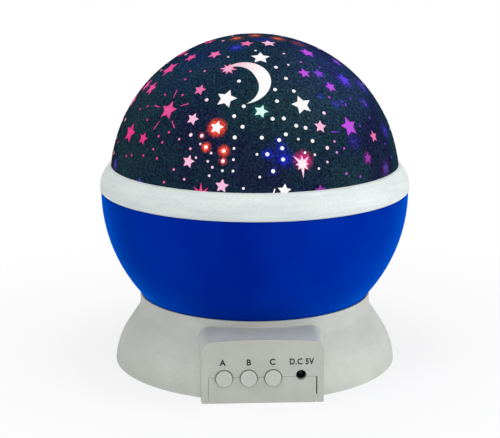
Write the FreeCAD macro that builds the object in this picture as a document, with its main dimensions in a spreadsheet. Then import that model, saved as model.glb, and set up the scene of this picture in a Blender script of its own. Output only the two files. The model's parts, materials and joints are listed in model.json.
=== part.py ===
"""Star night light: a turning ball on a bell-shaped base, under a dark dome pierced with a moon,
stars and dots. Millimetres, +Z up, the control panel faces -Y, origin at the centre of the footprint.
"""

import FreeCAD, Part
import math
import os
import re

import Sketcher
from FreeCAD import Placement, Rotation, Vector

SIZES = {
    # Ball and dome
    "ball_radius": 65.0,
    "seat_radius": 48.2,
    "bowl_wall": 1.8,
    "floor_under": 23.0,
    "floor_thick": 2.0,
    "floor_hole_gap": 0.5,
    "rim_rise": 1.2,
    "dome_inset": 4.0,
    "dome_rise": 3.7,
    "dome_wall": 1.6,
    # White collar round the dome
    "collar_proud": 0.4,
    "shoulder_rise": 2.2,
    "collar_height": 10.5,
    "collar_curve": 13.0,
    "collar_edge": 0.5,
    "lip_thick": 0.7,
    "lip_edge": 0.4,
    "spigot_drop": 6.2,
    "spigot_wall": 2.0,
    "spigot_gap": 0.3,
    "spigot_chamfer": 0.3,
    "ledge_depth": 1.6,
    "glue_gap": 0.05,
    # Bell-shaped base
    "foot_proud": 0.1,
    "base_radius": 60.1,
    "waist_inset": 4.0,
    "base_waist_level": 12.8,
    "slope_flare": 1.9,
    "base_slope_level": 20.4,
    "neck_lip": 1.0,
    "neck_height": 4.0,
    "neck_level": 29.6,
    "neck_cone": 2.2,
    "neck_gap": 0.4,
    "base_belly_curve": 30.0,
    "base_neck_curve": 9.0,
    "shell_wall": 2.0,
    # Control panel block
    "panel_face": 62.5,
    "panel_half": 24.2,
    "panel_height": 26.2,
    "panel_corner": 4.5,
    "panel_crown": 0.6,
    "crown_curve": 218.0,
    "panel_wall": 1.8,
    "panel_depth": 19.0,
    "panel_hollow_depth": 15.5,
    "panel_draft": 3.0,
    "tab_half": 21.5,
    "tab_right": 21.15,
    "tab_gap": 0.4,
    "seam_level": 10.8,
    "seam_gap": 0.12,
    # Push buttons, their switches and the power inlet
    "button_first": -15.3,
    "button_pitch": 9.7,
    "button_level": 10.5,
    "button_radius": 3.25,
    "button_gap": 0.35,
    "button_proud": 0.8,
    "button_flange": 4.3,
    "flange_thick": 1.2,
    "stem_radius": 2.0,
    "slack": 0.1,
    "switch_side": 6.0,
    "switch_deep": 3.6,
    "plunger_radius": 1.7,
    "plunger_out": 2.0,
    "plunger_in": 0.6,
    "plunger_well": 1.8,
    "board_front": 50.8,
    "board_thick": 1.2,
    "board_half": 22.6,
    "board_under": 4.0,
    "board_top": 22.0,
    "inlet_across": 15.2,
    "inlet_level": 11.5,
    "inlet_hole": 2.1,
    "inlet_bore": 1.75,
    "inlet_deep": 7.5,
    "inlet_half_wide": 4.5,
    "inlet_half_high": 3.5,
    "inlet_pin": 0.65,
    "inlet_pin_back": 1.0,
    # Bottom cover, its screws and feet
    "cover_thick": 2.0,
    "cover_gap": 0.6,
    "boss_inset": 3.6,
    "boss_rear_angle": 35.0,
    "boss_front_angle": 40.0,
    "boss_radius": 3.2,
    "boss_under": 5.0,
    "boss_top": 20.0,
    "well_radius": 4.2,
    "well_bore": 3.0,
    "well_floor": 1.6,
    "screw_radius": 1.3,
    "screw_length": 7.0,
    "screw_head": 2.7,
    "screw_head_thick": 1.7,
    "screw_hole": 1.4,
    "recess_reach": 1.5,
    "recess_half": 0.35,
    "recess_deep": 0.9,
    "foot_radius": 3.5,
    "foot_thick": 1.2,
    "foot_inset": 8.6,
    "foot_angle": 52.0,
    "foot_front_half": 18.0,
    "foot_front_in": 8.0,
    "slot_side": 18.0,
    "slot_wide": 3.6,
    "slot_wall": 1.6,
    "slot_top": 7.0,
    # Battery bay and door
    "cell_radius": 5.1,
    "cell_length": 43.5,
    "nub_radius": 1.9,
    "nub_length": 1.0,
    "cell_pitch": 10.8,
    "cell_first": 14.0,
    "cell_level": 8.3,
    "spring_room": 4.3,
    "bay_side": 0.6,
    "bay_wall": 1.5,
    "door_gap": 0.3,
    "hook_root": 3.0,
    "hook_long": 2.2,
    "hook_wide": 6.0,
    "hook_thick": 1.2,
    "hook_place": 14.0,
    "hook_gap": 0.4,
    "latch_wide": 10.0,
    "latch_slit": 0.8,
    "latch_long": 7.0,
    "grip_radius": 3.2,
    "grip_deep": 1.1,
    "grip_in": 3.0,
    "contact_thick": 0.4,
    "contact_half": 3.9,
    "leaf_flat": 0.6,
    # Gear deck, motor and train
    "deck_under": 14.2,
    "deck_thick": 1.8,
    "deck_gap": 0.3,
    "column_x": 34.0,
    "column_y": -6.0,
    "gear_module": 0.8,
    "ring_teeth": 60,
    "idler_small_teeth": 12,
    "idler_large_teeth": 36,
    "pinion_teeth": 10,
    "ring_gear_thick": 3.5,
    "hub_radius": 10.0,
    "idler_under": 16.6,
    "idler_large_thick": 1.8,
    "idler_top": 22.65,
    "idler_pin": 1.0,
    "idler_step": 3.0,
    "spindle_over": 0.1,
    "bearing_gap": 0.06,
    "motor_turn": 190.0,
    "motor_radius": 8.0,
    "motor_height": 11.0,
    "motor_shaft": 1.0,
    "shaft_room": 1.0,
    "shaft_deep": 6.0,
    "shaft_over": 0.3,
    "motor_clip": 1.5,
    "motor_clip_drop": 2.5,
    "motor_lug_half": 3.0,
    "motor_lug_rise": 4.0,
    "motor_lug_high": 4.0,
    "motor_lug_out": 0.8,
    "pinion_thick": 2.2,
    # Lamp post, holder, board and lamps
    "post_radius": 7.0,
    "post_bore": 5.0,
    "post_flange": 12.0,
    "post_flange_thick": 1.2,
    "post_rise": 4.6,
    "clip_radius": 10.4,
    "clip_thick": 1.0,
    "clip_above": 0.3,
    "holder_radius": 18.5,
    "holder_thick": 2.0,
    "holder_collar": 9.0,
    "holder_drop": 6.0,
    "lamp_board_radius": 17.5,
    "lamp_board_thick": 1.6,
    "lamp_circle": 13.0,
    "lamp_radius": 2.5,
    "lamp_flange": 2.9,
    "lamp_flange_thick": 1.0,
    "lamp_height": 8.6,
    # Hook-up wire
    "wire_radius": 0.6,
    "wire_pitch": 1.5,
    "wire_level": 11.0,
    "wire_bend": 3.5,
    "battery_wire_x": 11.0,
    "battery_wire_level": 6.0,
}

# Places and radii that follow from the sizes: the ball rests in the neck, the collar, the dome
# and the lamp post stand from its rim, the deck fits between the bosses and the bay its cells
FOLLOWS = {
    "ball_centre": "neck_level + sqrt(ball_radius^2 - seat_radius^2)",
    "rim_level": "ball_centre + rim_rise",
    "dome_radius": "ball_radius - dome_inset",
    "dome_centre": "rim_level + dome_rise",
    "collar_radius": "ball_radius + collar_proud",
    "collar_shoulder": "rim_level + shoulder_rise",
    "collar_lip": "dome_radius + lip_thick",
    "collar_top": "rim_level + collar_height",
    "neck_radius": "seat_radius + neck_lip",
    "neck_under": "neck_level - neck_height",
    "base_slope_radius": "neck_radius + slope_flare",
    "base_waist_radius": "base_radius - waist_inset",
    "boss_circle": "base_slope_radius - boss_inset",
    "deck_radius": "boss_circle - boss_radius - deck_gap",
    "plate_top": "foot_proud + cover_thick",
    "deck_top": "deck_under + deck_thick",
    "post_top": "rim_level + post_rise",
    "bay_half": "(contact_thick + nub_length + cell_length + spring_room) / 2",
    "bay_front": "cell_first - cell_radius - bay_side",
    "bay_rear": "cell_first + 2 * cell_pitch + cell_radius + bay_side",
    "ring_pitch": "gear_module * ring_teeth / 2",
    "small_pitch": "gear_module * idler_small_teeth / 2",
    "large_pitch": "gear_module * idler_large_teeth / 2",
    "pinion_pitch": "gear_module * pinion_teeth / 2",
    "idler_y": "-(ring_pitch + small_pitch)",
    "motor_x": "(large_pitch + pinion_pitch) * cos(motor_turn)",
    "motor_y": "idler_y + (large_pitch + pinion_pitch) * sin(motor_turn)",
}
IDLER_SPOT = ("0", "idler_y")
MOTOR_SPOT = ("motor_x", "motor_y")

# How far a cutting shape runs past the face that it opens
PAST = 1

# Tooth form of every gear, in modules
ADDENDUM = 0.8
DEDENDUM = 1.1
PRESSURE = math.radians(25)
BACKLASH = 0.16
FLANK_POINTS = 4

document = FreeCAD.newDocument("StarNightLight")
sheet = document.addObject("Spreadsheet::Sheet", "Size")
for row, (alias, value) in enumerate(SIZES.items(), start=1):
    sheet.set(f"A{row}", alias)
    sheet.set(f"B{row}", str(value))
    sheet.setAlias(f"B{row}", alias)
document.recompute()

nodes = []


def bound(text):
    """Write an expression in the sheet's words as one that the document understands."""
    def word(found):
        name = found[0]
        if name in FOLLOWS:
            return f"({bound(FOLLOWS[name])})"
        return f"Size.{name}" if name in SIZES else name

    return re.sub(r"[a-z_]+", word, str(text))


def number(text):
    """Work an expression out now, for first guesses and for shapes set by formula."""
    return float(sheet.evalExpression(bound(text)))


def place(item, at):
    for axis, text in zip("xyz", at):
        item.setExpression(f"Placement.Base.{axis}", bound(text))
    return item


def box(name, low, high):
    """A block between two corners, each given as three expressions."""
    item = document.addObject("Part::Box", name)
    for side, start, end in zip(("Length", "Width", "Height"), low, high):
        item.setExpression(side, bound(f"({end}) - ({start})"))
    return place(item, low)


TURNS = {
    "z": Rotation(),
    "y": Rotation(Vector(1, 0, 0), -90),
    "x": Rotation(Vector(0, 1, 0), 90),
}


def rod(name, radius, start, length, along="z"):
    """A cylinder from a start point, along +X, +Y or +Z."""
    item = document.addObject("Part::Cylinder", name)
    item.setExpression("Radius", bound(radius))
    item.setExpression("Height", bound(length))
    item.Placement = Placement(Vector(), TURNS[along])
    return place(item, start)


def tube(name, outer, inner, start, length, along="z"):
    return cut(name, rod(f"{name}Outer", outer, start, length, along), [
        rod(f"{name}Bore", inner, start, length, along)
    ])


def ball(name, radius, at):
    item = document.addObject("Part::Sphere", name)
    item.setExpression("Radius", bound(radius))
    return place(item, at)


def fuse(name, pieces):
    item = document.addObject("Part::MultiFuse", name)
    item.Shapes = pieces
    return item


def cut(name, base, tools):
    item = document.addObject("Part::Cut", name)
    item.Base = base
    item.Tool = tools[0] if len(tools) == 1 else fuse(f"{name}Tools", tools)
    return item


def node(label, item):
    """Mark a finished sub-part: its label names its file."""
    item.Label = label
    nodes.append(item)
    return item


def minor_arc(start, end, centre):
    """The shorter arc from start to end about a centre, and which of its ends is the start."""
    first = math.atan2(start.y - centre.y, start.x - centre.x)
    last = math.atan2(end.y - centre.y, end.x - centre.x)
    circle = Part.Circle(centre, Vector(0, 0, 1), (start - centre).Length)
    anticlockwise = (start - centre).cross(end - centre).z > 0
    if anticlockwise:
        return Part.ArcOfCircle(circle, first, last), (1, 2)
    return Part.ArcOfCircle(circle, last, first), (2, 1)


def side_centre(start, end, radius, side):
    """The centre of an arc through two points, to the left (+1) or right (-1) of the way between."""
    chord = end - start
    lift = math.sqrt(radius**2 - chord.Length**2 / 4)
    return start + chord * 0.5 + Vector(-chord.y, chord.x, 0).normalize() * (lift * side)


def outline(body, name, plane, corners, arcs=None, offset=0):
    """A closed sketch. Corners are pairs of expressions, and one that starts with ~ is only a first
    guess, which an arc then fixes. arcs maps a corner's index to the arc that leaves it: its radius
    and the side of its centre, or its radius and its centre's two expressions.
    """
    arcs = arcs or {}
    sketch = body.newObject("Sketcher::SketchObject", name)
    origin = [item for item in body.Origin.OriginFeatures if item.Role == plane][0]
    sketch.AttachmentSupport = [(origin, "")]
    sketch.MapMode = "FlatFace"
    if offset:
        sketch.setExpression("AttachmentOffset.Base.z", bound(offset))
    spots = [Vector(number(x.lstrip("~")), number(y.lstrip("~")), 0) for x, y in corners]
    edges = []
    for index, start in enumerate(spots):
        end = spots[(index + 1) % len(spots)]
        if index not in arcs:
            edges.append((sketch.addGeometry(Part.LineSegment(start, end), False), (1, 2)))
            continue
        radius, *rest = arcs[index]
        if len(rest) == 2:
            centre = Vector(number(rest[0]), number(rest[1]), 0)
        else:
            centre = side_centre(start, end, number(radius), rest[0])
        arc, ends = minor_arc(start, end, centre)
        edges.append((sketch.addGeometry(arc, False), ends))

    def measure(kind, geometry, point, text):
        axis = {"DistanceX": -2, "DistanceY": -1}[kind]
        if text == "0":
            sketch.addConstraint(Sketcher.Constraint("PointOnObject", geometry, point, axis))
            return
        held = Sketcher.Constraint(kind, -1, 1, geometry, point, number(text))
        index = sketch.addConstraint(held)
        sketch.setExpression(f"Constraints[{index}]", bound(text))

    for index, (geometry, ends) in enumerate(edges):
        after, after_ends = edges[(index + 1) % len(edges)]
        joined = Sketcher.Constraint("Coincident", geometry, ends[1], after, after_ends[0])
        sketch.addConstraint(joined)
    for index, (geometry, ends) in enumerate(edges):
        for kind, text in zip(("DistanceX", "DistanceY"), corners[index]):
            if not text.startswith("~"):
                measure(kind, geometry, ends[0], text)
        if index in arcs:
            radius, *rest = arcs[index]
            if len(rest) == 2:
                measure("DistanceX", geometry, 3, rest[0])
                measure("DistanceY", geometry, 3, rest[1])
            held = sketch.addConstraint(Sketcher.Constraint("Radius", geometry, number(radius)))
            sketch.setExpression(f"Constraints[{held}]", bound(radius))
    return sketch


def turned(name, corners, arcs=None):
    """A body turned about the Z axis from an outline in X and Z."""
    body = document.addObject("PartDesign::Body", name)
    sketch = outline(body, f"{name}Profile", "XZ_Plane", corners, arcs)
    turn = body.newObject("PartDesign::Revolution", f"{name}Turn")
    turn.Profile = sketch
    turn.ReferenceAxis = (sketch, ["V_Axis"])
    turn.Angle = 360
    return body


def on_sphere(radius, centre, level):
    """The radius of a sphere's circle at a level, as an expression."""
    return f"sqrt(({radius})^2 - ({level} - {centre})^2)"


def polar(radius, angle):
    return f"({radius}) * cos({angle})", f"({radius}) * sin({angle})"


def bowl():
    """The blue ball: a thin sphere, open at its rim, with a flat floor that the hub carries."""
    inner = "ball_radius - bowl_wall"
    floor_top = "floor_under + floor_thick"
    corners = [
        ("post_radius + floor_hole_gap", "floor_under"),
        ("~" + on_sphere("ball_radius", "ball_centre", "floor_under"), "floor_under"),
        ("~" + on_sphere("ball_radius", "ball_centre", "rim_level"), "rim_level - collar_edge"),
        ("ball_radius - collar_edge", "rim_level"),
        ("~" + on_sphere(inner, "ball_centre", "rim_level"), "rim_level"),
        ("~" + on_sphere(inner, "ball_centre", floor_top), floor_top),
        ("post_radius + floor_hole_gap", floor_top),
    ]
    arcs = {
        1: ("ball_radius", "0", "ball_centre"),
        4: (inner, "0", "ball_centre"),
    }
    return node("bowl", turned("Bowl", corners, arcs))


def star_dome():
    """The dark dome: half of a thin sphere, its edge held in the collar."""
    inner = "dome_radius - dome_wall"
    corners = [
        ("~dome_radius", "dome_centre"),
        ("0", "~dome_centre + dome_radius"),
        ("0", "~dome_centre + dome_radius - dome_wall"),
        ("~dome_radius - dome_wall", "dome_centre"),
    ]
    arcs = {0: ("dome_radius", "0", "dome_centre"), 2: (inner, "0", "dome_centre")}
    return node("star_dome", turned("StarDome", corners, arcs))


def collar_ring():
    """The white collar: a shoulder outside, a ledge for the dome's edge and a spigot in the bowl."""
    seat = "dome_radius + glue_gap"
    spigot = on_sphere("ball_radius - bowl_wall", "ball_centre", "rim_level") + " - spigot_gap"
    spigot_inner = f"{spigot} - spigot_wall"
    ledge_inner = "dome_radius - dome_wall"
    bottom = "rim_level - spigot_drop"
    corners = [
        ("collar_radius - collar_edge", "rim_level"),
        ("collar_radius", "rim_level + collar_edge"),
        ("collar_radius", "collar_shoulder"),
        ("collar_lip", "collar_top - lip_edge"),
        ("~" + on_sphere(seat, "dome_centre", "collar_top"), "collar_top"),
        ("~" + seat, "dome_centre"),
        (ledge_inner, "dome_centre"),
        (ledge_inner, "dome_centre - ledge_depth"),
        (spigot_inner, "dome_centre - 2 * ledge_depth"),
        (spigot_inner, bottom),
        (f"{spigot} - spigot_chamfer", bottom),
        (spigot, f"{bottom} + 2 * spigot_chamfer"),
        (spigot, "rim_level"),
    ]
    arcs = {2: ("collar_curve", 1), 4: (seat, "0", "dome_centre")}
    return node("collar_ring", turned("CollarRing", corners, arcs))


def panel_prism(name, back, half, top, corner, low, depth):
    """A block that grows from the panel's plane into the base, with rounded top corners."""
    body = document.addObject("PartDesign::Body", name)
    half, corner = f"({half})", f"({corner})"
    side_top = f"{top} - panel_crown"
    corners = [
        (f"-{half}", low),
        (f"-{half}", f"{side_top} - {corner}"),
        (f"-{half} + {corner}", side_top),
        ("0", top),
        (f"{half} - {corner}", side_top),
        (half, f"{side_top} - {corner}"),
        (half, low),
    ]
    arcs = {1: (corner, -1), 2: ("crown_curve", -1), 3: ("crown_curve", -1), 4: (corner, -1)}
    sketch = outline(body, f"{name}Profile", "XZ_Plane", corners, arcs, offset=back)
    pad = body.newObject("PartDesign::Pad", f"{name}Pad")
    pad.Profile = sketch
    pad.setExpression("Length", bound(depth))
    pad.Reversed = True
    pad.setExpression("TaperAngle", bound("panel_draft"))
    return body


def bell(name, inset, low, top):
    """The base's bell shape as a solid of revolution, drawn in by an inset for its hollow."""
    drop = f"({inset})"
    corners = [
        ("0", low),
        (f"base_radius - {drop}", low),
        (f"base_waist_radius - {drop}", f"base_waist_level - {drop} / 3"),
        (f"base_slope_radius - {drop}", f"base_slope_level - {drop} / 3"),
        (f"neck_radius - {drop}", f"neck_under - {drop} / 2"),
        (f"neck_radius - {drop}", top),
        ("0", top),
    ]
    arcs = {1: ("base_belly_curve", 1), 3: ("base_neck_curve", -1)}
    return turned(name, corners, arcs)


def across_panel(name, radius, across, level, start, length):
    return rod(name, radius, (across, f"-({start})", level), length, "y")


def button_place(index):
    return f"button_first + {index} * button_pitch"


def panel_holes(prefix):
    holes = [
        across_panel(
            f"{prefix}ButtonHole{index}", "button_radius + button_gap", button_place(index),
            "button_level", f"panel_face + {PAST}", f"panel_wall + 2 * {PAST}",
        )
        for index in range(3)
    ]
    holes.append(across_panel(
        f"{prefix}InletHole", "inlet_hole", "inlet_across", "inlet_level",
        f"panel_face + {PAST}", f"panel_wall + 2 * {PAST}",
    ))
    return holes


def screw_spots():
    """Where the cover's screws go: four into the shell and two into the gear deck."""
    spots = []
    for angle in ("boss_rear_angle", "180 - boss_rear_angle", "180 + boss_front_angle",
                  "-boss_front_angle"):
        spots.append(polar("boss_circle", angle))
    spots.append(("column_x", "column_y"))
    spots.append(("-column_x", "column_y"))
    return spots


def base_shell():
    """The white bell with its control block, bosses for the cover's screws and an open neck."""
    skin = fuse("ShellSkin", [
        bell("Bell", "0", "foot_proud", "neck_level"),
        panel_prism("Block", "panel_face", "panel_half", "panel_height", "panel_corner",
                    "foot_proud", "panel_depth"),
    ])
    mouth = "seat_radius + neck_gap"
    under = f"foot_proud - {PAST}"
    neck = turned("NeckCone", [
        ("0", "neck_level - neck_cone"),
        (f"{mouth} - neck_cone", "neck_level - neck_cone"),
        (mouth, "neck_level"),
        (mouth, f"neck_level + {PAST}"),
        ("0", f"neck_level + {PAST}"),
    ])
    hollow = [
        bell("BellHollow", "shell_wall", under, "neck_level - neck_cone / 2"),
        neck,
        panel_prism("BlockHollow", "panel_face - panel_wall", "panel_half - panel_wall",
                    "panel_height - panel_wall", "panel_corner - panel_wall", under,
                    "panel_hollow_depth"),
    ]
    tab_cut = box("TabCut", ("-tab_half - seam_gap", f"-panel_face - {PAST}", under),
                  ("tab_half + seam_gap", "-panel_face + panel_wall + tab_gap",
                   "seam_level + seam_gap"))
    # The block's draft widens it downwards as well, so what passes the underside comes off
    under_trim = box("UnderTrim",
                     ("-base_radius", f"-panel_face - {PAST}", "foot_proud - panel_height"),
                     ("base_radius", "0", "foot_proud"))
    hollowed = cut("ShellOpen", skin, hollow + [tab_cut, under_trim] + panel_holes("Shell"))
    bosses = [
        rod(f"Boss{index}", "boss_radius", (*spot, "boss_under"), "boss_top - boss_under")
        for index, spot in enumerate(screw_spots()[:4])
    ]
    bores = [
        rod(f"BossBore{index}", "screw_radius", (*spot, f"boss_under - {PAST}"),
            f"screw_length + {PAST}")
        for index, spot in enumerate(screw_spots()[:4])
    ]
    return node("base_shell", cut("Shell", fuse("ShellBossed", [hollowed] + bosses), bores))


def bottom_cover():
    """The cover closes the base from below and carries the lower half of the panel as a tab."""
    disc = rod("CoverDisc", "base_radius - shell_wall - cover_gap", ("0", "0", "foot_proud"),
               "cover_thick")
    apron = box("CoverApron", ("-tab_half", "-panel_face", "foot_proud"),
                ("tab_right", "-panel_face / 2", "plate_top"))
    tab = box("CoverTab", ("-tab_half", "-panel_face", "foot_proud"),
              ("tab_right", "-panel_face + panel_wall", "seam_level"))
    wells = [
        rod(f"Well{index}", "well_radius", (*spot, "foot_proud"), "boss_under - foot_proud")
        for index, spot in enumerate(screw_spots())
    ]
    slots = [
        box(f"SlotBlock{side}", (f"{sign}slot_side - slot_wide / 2",
                                 "-board_front - slot_wall", "plate_top"),
            (f"{sign}slot_side + slot_wide / 2",
             "-board_front + board_thick + slot_wall", "slot_top"))
        for side, sign in (("Right", ""), ("Left", "-"))
    ]
    board_slit = box("BoardSlit", (f"-board_half - {PAST}", "-board_front", "board_under"),
                     (f"board_half + {PAST}", "-board_front + board_thick",
                      f"slot_top + {PAST}"))
    door_way = box("DoorWay", ("-bay_half", "bay_front", f"foot_proud - {PAST}"),
                   ("bay_half", "bay_rear", f"plate_top + {PAST}"))
    counterbores = [
        rod(f"CounterBore{index}", "well_bore", (*spot, f"foot_proud - {PAST}"),
            f"boss_under - foot_proud - well_floor + {PAST}")
        for index, spot in enumerate(screw_spots())
    ]
    holes = [
        rod(f"ScrewHole{index}", "screw_hole", (*spot, "foot_proud"), "boss_under")
        for index, spot in enumerate(screw_spots())
    ]
    dimples = [
        rod(f"FootDimple{index}", "foot_radius", (*spot, f"foot_proud - {PAST}"),
            f"foot_thick - foot_proud + {PAST}")
        for index, spot in enumerate(foot_spots())
    ]
    solid = fuse("CoverSolid", [disc, apron, tab] + wells + slots)
    tools = [board_slit, door_way] + counterbores + holes + dimples + panel_holes("Cover")
    return node("bottom_cover", cut("Cover", solid, tools))


def foot_spots():
    """Two feet near the rear edge and two behind the panel's lower corners."""
    front = "foot_front_in - panel_face"
    return [
        polar("base_radius - foot_inset", "foot_angle"),
        polar("base_radius - foot_inset", "180 - foot_angle"),
        ("foot_front_half", front),
        ("-foot_front_half", front),
    ]


def feet():
    for index, spot in enumerate(foot_spots(), start=1):
        node(f"foot_{index}", rod(f"Foot{index}", "foot_radius", (*spot, "0"), "foot_thick"))


def cover_screws():
    """Six equal screws, each with its head in a well of the cover."""
    pieces = []
    head_under = "boss_under - well_floor - screw_head_thick"
    for index, spot in enumerate(screw_spots()):
        head = rod(f"ScrewHead{index}", "screw_head", (*spot, head_under), "screw_head_thick")
        shank = rod(f"ScrewShank{index}", "screw_radius", (*spot, "boss_under - well_floor"),
                    "screw_length")
        recess = [
            box(f"ScrewSlot{index}{way}",
                (f"{spot[0]} - {along}", f"{spot[1]} - {wide}", f"{head_under} - {PAST}"),
                (f"{spot[0]} + {along}", f"{spot[1]} + {wide}", f"{head_under} + recess_deep"))
            for way, along, wide in (("A", "recess_reach", "recess_half"),
                                     ("B", "recess_half", "recess_reach"))
        ]
        pieces.append(cut(f"Screw{index}", fuse(f"ScrewBody{index}", [head, shank]), recess))
    return node("cover_screws", fuse("CoverScrews", pieces))


def battery_door():
    """The door: a plate with two hooks at its rear edge and a sprung latch at its front edge."""
    edge = "bay_front + door_gap"
    plate = box("DoorPlate", ("-bay_half + door_gap", edge, "foot_proud"),
                ("bay_half - door_gap", "bay_rear - door_gap", "plate_top"))
    hooks = [
        box(f"DoorHook{side}",
            (f"{sign}hook_place - hook_wide / 2", "bay_rear - hook_root", "plate_top"),
            (f"{sign}hook_place + hook_wide / 2", "bay_rear + hook_long",
             "plate_top + hook_thick"))
        for side, sign in (("Right", ""), ("Left", "-"))
    ]
    slits = [
        box(f"LatchSlit{side}", (f"{sign}latch_wide / 2 - latch_slit / 2",
                                 f"{edge} - {PAST}", f"foot_proud - {PAST}"),
            (f"{sign}latch_wide / 2 + latch_slit / 2", f"{edge} + latch_long",
             f"plate_top + {PAST}"))
        for side, sign in (("Right", ""), ("Left", "-"))
    ]
    grip = rod("DoorGrip", "grip_radius", ("-latch_wide / 4", f"{edge} + grip_in",
                                           "foot_proud - grip_radius + grip_deep"),
               "latch_wide / 2", "x")
    return node("battery_door", cut("Door", fuse("DoorSolid", [plate] + hooks), slits + [grip]))


def gear_deck():
    """The deck over the battery bay: it carries the post, the gears and the motor."""
    disc = rod("DeckDisc", "deck_radius", ("0", "0", "deck_under"), "deck_thick")
    walls = cut("BayWalls",
                box("BayOuter", ("-bay_half - bay_wall", "bay_front - bay_wall", "plate_top"),
                    ("bay_half + bay_wall", "bay_rear + bay_wall", "deck_under")),
                [box("BayInner", ("-bay_half", "bay_front", f"plate_top - {PAST}"),
                     ("bay_half", "bay_rear", "deck_under"))])
    columns = [
        rod(f"Column{side}", "boss_radius", (f"{sign}column_x", "column_y", "boss_under"),
            "deck_under - boss_under")
        for side, sign in (("Right", ""), ("Left", "-"))
    ]
    step = rod("IdlerStep", "idler_step", (*IDLER_SPOT, "deck_top"), "idler_under - deck_top")
    clip = rod("MotorClip", "motor_radius + motor_clip", (*MOTOR_SPOT,
               "deck_under - motor_clip_drop"), "motor_clip_drop")
    clip_bore = rod("MotorSeat", "motor_radius",
                    (*MOTOR_SPOT, f"deck_under - motor_clip_drop - {PAST}"),
                    f"motor_clip_drop + {PAST}")
    through = f"deck_thick + 2 * {PAST}"
    tools = [
        clip_bore,
        rod("MotorShaftHole", "motor_shaft + shaft_room", (*MOTOR_SPOT, f"deck_under - {PAST}"),
            through),
        rod("WireHole", "post_bore", ("0", "0", f"deck_under - {PAST}"), through),
        rod("IdlerPinHole", "idler_pin", (*IDLER_SPOT, "deck_under"), through),
    ]
    for side, sign in (("Right", ""), ("Left", "-")):
        tools.append(rod(f"ColumnBore{side}", "screw_radius",
                         (f"{sign}column_x", "column_y", f"boss_under - {PAST}"),
                         f"screw_length + {PAST}"))
        tools.append(box(f"HookRoom{side}", (f"{sign}hook_place - hook_wide / 2 - hook_gap",
                                             f"bay_rear - {PAST}", f"plate_top - {PAST}"),
                         (f"{sign}hook_place + hook_wide / 2 + hook_gap",
                          f"bay_rear + bay_wall + {PAST}",
                          "plate_top + hook_thick + hook_long + hook_gap")))
    solid = fuse("DeckSolid", [disc, walls, clip, step] + columns)
    return node("gear_deck", cut("Deck", solid, tools))


def tooth_half_angle(radius, pitch, teeth):
    """Half the angle that a tooth spans at a radius, on an involute flank."""
    base = pitch * math.cos(PRESSURE)
    spread = math.acos(min(1.0, base / max(radius, base)))
    at_pitch = math.pi / (2 * teeth) - BACKLASH / 4 / pitch
    return at_pitch + (math.tan(PRESSURE) - PRESSURE) - (math.tan(spread) - spread)


def gear_prism(teeth, under, thick, first):
    """A spur gear by formula: its tooth count, underside, thickness and first tooth's angle."""
    module = number("gear_module")
    pitch = module * teeth / 2
    tip = pitch + ADDENDUM * module
    root = pitch - DEDENDUM * module
    flank = max(root, pitch * math.cos(PRESSURE))
    radii = [root] if root < flank else []
    radii += [flank + (tip - flank) * step / (FLANK_POINTS - 1) for step in range(FLANK_POINTS)]
    points = []
    for tooth in range(teeth):
        middle = math.radians(first) + 2 * math.pi * tooth / teeth
        sides = [(radius, -tooth_half_angle(radius, pitch, teeth)) for radius in radii]
        sides += [(radius, -turn) for radius, turn in reversed(sides)]
        for radius, turn in sides:
            angle = middle + turn
            points.append(Vector(radius * math.cos(angle), radius * math.sin(angle), under))
    points.append(points[0])
    return Part.Face(Part.makePolygon(points)).extrude(Vector(0, 0, thick))


def shaped(label, shape, at=("0", "0", "0")):
    """A sub-part whose shape comes from a formula, with its place bound to the sheet."""
    item = document.addObject("Part::Feature", label.title().replace("_", ""))
    item.Shape = shape
    return node(label, place(item, at))


def ring_gear():
    """The ball's gear, under its floor, with the hub that turns on the post."""
    top = number("floor_under")
    under = number("floor_under - ring_gear_thick")
    hub_under = number("deck_top + post_flange_thick")
    gear = gear_prism(int(number("ring_teeth")), under, number("ring_gear_thick"), 0)
    hub = Part.makeCylinder(number("hub_radius"), under - hub_under, Vector(0, 0, hub_under))
    bore = Part.makeCylinder(number("post_radius + bearing_gap"), top)
    return shaped("ring_gear", gear.fuse(hub).cut(bore).removeSplitter())


def idler_gear():
    """The middle gear: the motor turns its large wheel and its small one turns the ball."""
    under = number("idler_under")
    large_thick = number("idler_large_thick")
    top = number("idler_top")
    small_teeth = int(number("idler_small_teeth"))
    large = gear_prism(int(number("idler_large_teeth")), under, large_thick, 0)
    small = gear_prism(small_teeth, under + large_thick, top - under - large_thick,
                       180 / small_teeth)
    bore = Part.makeCylinder(number("idler_pin + bearing_gap"), top)
    return shaped("idler_gear", large.fuse(small).cut(bore).removeSplitter(), (*IDLER_SPOT, "0"))


def motor_pinion():
    thick = number("pinion_thick")
    under = number("idler_under + idler_large_thick / 2") - thick / 2
    teeth = int(number("pinion_teeth"))
    first = number("motor_turn") + 180 + 180 / teeth
    gear = gear_prism(teeth, under, thick, first)
    bore = Part.makeCylinder(number("motor_shaft"), under + thick)
    return shaped("motor_pinion", gear.cut(bore), (*MOTOR_SPOT, "0"))


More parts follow.
